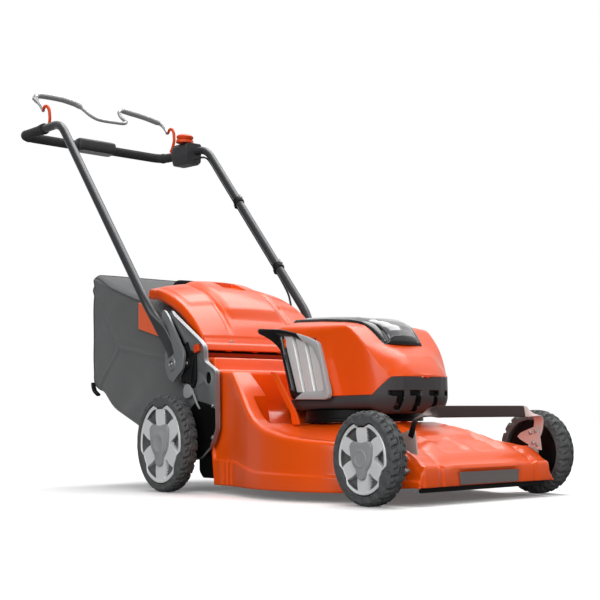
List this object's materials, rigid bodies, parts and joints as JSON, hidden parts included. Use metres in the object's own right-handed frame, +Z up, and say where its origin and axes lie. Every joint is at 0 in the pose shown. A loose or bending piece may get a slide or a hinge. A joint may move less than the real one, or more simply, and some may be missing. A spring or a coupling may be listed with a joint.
{
  "type": "cordless lawn mower",
  "caption": "Push lawn mower with battery motor housing, pressed deck, rear grass bag, sprung discharge flap, spoked wheels and folding handle.",
  "frame": {"origin": "middle of the footprint on the ground under the whole machine", "axes": "+Z up, the mower faces -Y, its own right side is -X"},
  "size_m": [0.5536, 1.751, 1.2224],
  "materials": {
    "deck_paint": "gloss orange paint",
    "cover_plastic": "gloss orange plastic",
    "orange_trim": "orange plastic",
    "dark_plastic": "dark grey grained plastic",
    "black_plastic": "black plastic",
    "grip_foam": "black soft grip",
    "grille_plastic": "grey plastic",
    "lid_plastic": "smoked gloss plastic",
    "tyre_rubber": "dark tread",
    "hub_silver": "silver painted plastic",
    "cap_plastic": "grey plastic",
    "bag_fabric": "dark grey woven fabric",
    "tube_paint": "dark grey coating",
    "bracket_steel": "grey plated steel",
    "bail_grey": "light grey coating",
    "lever_grey": "light grey plastic",
    "carry_bronze": "bronze metallic coating",
    "plain_steel": "plain steel",
    "winding": "enamelled copper winding",
    "board": "green board"
  },
  "bodies": {
    "chassis": {"deck": "deck_paint", "bumper_plate": "dark_plastic", "carry_handle": "carry_bronze", "carry_foot_r": "carry_bronze", "carry_foot_l": "carry_bronze", "motor_base": "black_plastic", "motor_stator": "winding", "housing_skirt": "dark_plastic", "housing_cover": "cover_plastic", "lid_frame": "dark_plastic", "grille_r": "grille_plastic", "grille_l": "grille_plastic", "battery_tray": "dark_plastic", "control_board": "board", "flap_pin": "plain_steel", "flap_spring": "plain_steel", "handle_bracket_r": "bracket_steel", "handle_bracket_l": "bracket_steel", "latch_block_r": "black_plastic", "latch_block_l": "black_plastic"},
    "battery_pack": {"battery": "black_plastic"},
    "lid": {"battery_lid": "lid_plastic"},
    "flap": {"rear_flap": "cover_plastic"},
    "bag": {"grass_bag": "bag_fabric", "bag_frame": "dark_plastic", "bag_grip": "black_plastic"},
    "cutter": {"rotor_shaft": "plain_steel", "blade": "plain_steel", "blade_bolt": "plain_steel"},
    "front_crank": {"front_axle": "plain_steel"},
    "rear_crank": {"rear_axle": "plain_steel", "drive_gearbox": "black_plastic"},
    "wheel_front_right": {"tyre_front_r": "tyre_rubber", "hub_front_r": "hub_silver", "cap_front_r": "cap_plastic"},
    "wheel_front_left": {"tyre_front_l": "tyre_rubber", "hub_front_l": "hub_silver", "cap_front_l": "cap_plastic"},
    "wheel_rear_right": {"tyre_rear_r": "tyre_rubber", "hub_rear_r": "hub_silver", "cap_rear_r": "cap_plastic"},
    "wheel_rear_left": {"tyre_rear_l": "tyre_rubber", "hub_rear_l": "hub_silver", "cap_rear_l": "cap_plastic"},
    "height_control": {"height_lever": "black_plastic"},
    "handle": {"handle_tube": "tube_paint", "grip_bar": "grip_foam", "console": "black_plastic", "control_box": "dark_plastic", "control_cable": "grip_foam", "cable_clip_upper": "black_plastic", "cable_clip_lower": "black_plastic"},
    "bail_bar": {"bail": "bail_grey", "bail_lever_r": "orange_trim", "bail_lever_l": "orange_trim"},
    "start": {"start_button": "orange_trim"},
    "lock_right": {"lock_lever_r": "lever_grey"},
    "lock_left": {"lock_lever_l": "lever_grey"},
    "tab_right": {"release_tab_r": "orange_trim"},
    "tab_left": {"release_tab_l": "orange_trim"}
  },
  "joints": [
    {"name": "rear_crank_turn", "type": "hinge", "parent": "chassis", "child": "rear_crank", "pos_m": [0, -0.09751, 0.09353], "axis": [-1, 0, 0], "range_deg": [0, 54]},
    {"name": "front_crank_turn", "type": "hinge", "parent": "chassis", "child": "front_crank", "pos_m": [0, -0.83451, 0.06503], "axis": [-1, 0, 0], "range_deg": [0, 54]},
    {"name": "height_lever_turn", "type": "hinge", "parent": "chassis", "child": "height_control", "pos_m": [0.2195, -0.2505, 0.2], "axis": [1, 0, 0], "range_deg": [0, 30]},
    {"name": "wheel_front_right_spin", "type": "hinge", "parent": "front_crank", "child": "wheel_front_right", "pos_m": [-0.243, -0.7855, 0.09], "axis": [1, 0, 0], "continuous": true},
    {"name": "wheel_front_left_spin", "type": "hinge", "parent": "front_crank", "child": "wheel_front_left", "pos_m": [0.243, -0.7855, 0.09], "axis": [1, 0, 0], "continuous": true},
    {"name": "wheel_rear_right_spin", "type": "hinge", "parent": "rear_crank", "child": "wheel_rear_right", "pos_m": [-0.2515, -0.0485, 0.1185], "axis": [1, 0, 0], "continuous": true},
    {"name": "wheel_rear_left_spin", "type": "hinge", "parent": "rear_crank", "child": "wheel_rear_left", "pos_m": [0.2515, -0.0485, 0.1185], "axis": [1, 0, 0], "continuous": true},
    {"name": "blade_spin", "type": "hinge", "parent": "chassis", "child": "cutter", "pos_m": [0, -0.5005, 0.042], "axis": [0, 0, 1], "continuous": true},
    {"name": "lid_open", "type": "hinge", "parent": "chassis", "child": "lid", "pos_m": [0, -0.3535, 0.404], "axis": [-1, 0, 0], "range_deg": [0, 75]},
    {"name": "battery_lift", "type": "slide", "parent": "chassis", "child": "battery_pack", "axis": [0, 0, 1], "range_m": [0, 0.028]},
    {"name": "flap_open", "type": "hinge", "parent": "chassis", "child": "flap", "pos_m": [0, -0.1305, 0.3455], "axis": [1, 0, 0], "range_deg": [0, 55], "stiffness_Nm_per_rad": 0.6, "springref_deg": -22.92},
    {"name": "bag_pull", "type": "slide", "parent": "chassis", "child": "bag", "axis": [0, 1, 0], "range_m": [0, 0.25]},
    {"name": "handle_fold", "type": "hinge", "parent": "chassis", "child": "handle", "pos_m": [0, -0.0395, 0.313], "axis": [1, 0, 0], "range_deg": [0, 118]},
    {"name": "bail_close", "type": "hinge", "parent": "handle", "child": "bail_bar", "pos_m": [0, 0.7315, 1.095], "axis": [-1, 0, 0], "range_deg": [0, 44], "stiffness_Nm_per_rad": 0.5, "springref_deg": -34.38},
    {"name": "start_press", "type": "slide", "parent": "handle", "child": "start", "axis": [0, 0.0937, -0.9956], "range_m": [0, 0.003], "stiffness_N_per_m": 2000, "springref_m": -0.002},
    {"name": "lock_right_turn", "type": "hinge", "parent": "chassis", "child": "lock_right", "pos_m": [-0.218, -0.093, 0.245], "axis": [-1, 0, 0], "range_deg": [0, 20]},
    {"name": "lock_left_turn", "type": "hinge", "parent": "chassis", "child": "lock_left", "pos_m": [0.218, -0.093, 0.245], "axis": [-1, 0, 0], "range_deg": [0, 20]},
    {"name": "tab_right_press", "type": "slide", "parent": "chassis", "child": "tab_right", "axis": [0, -0.6, -0.8], "range_m": [0, 0.005], "stiffness_N_per_m": 1500, "springref_m": -0.002},
    {"name": "tab_left_press", "type": "slide", "parent": "chassis", "child": "tab_left", "axis": [0, -0.6, -0.8], "range_m": [0, 0.005], "stiffness_N_per_m": 1500, "springref_m": -0.002}
  ],
  "couplings": [
    {"joint": "front_crank_turn", "follows": "rear_crank_turn", "ratio": 1},
    {"joint": "height_lever_turn", "follows": "rear_crank_turn", "ratio": 0.5555}
  ]
}
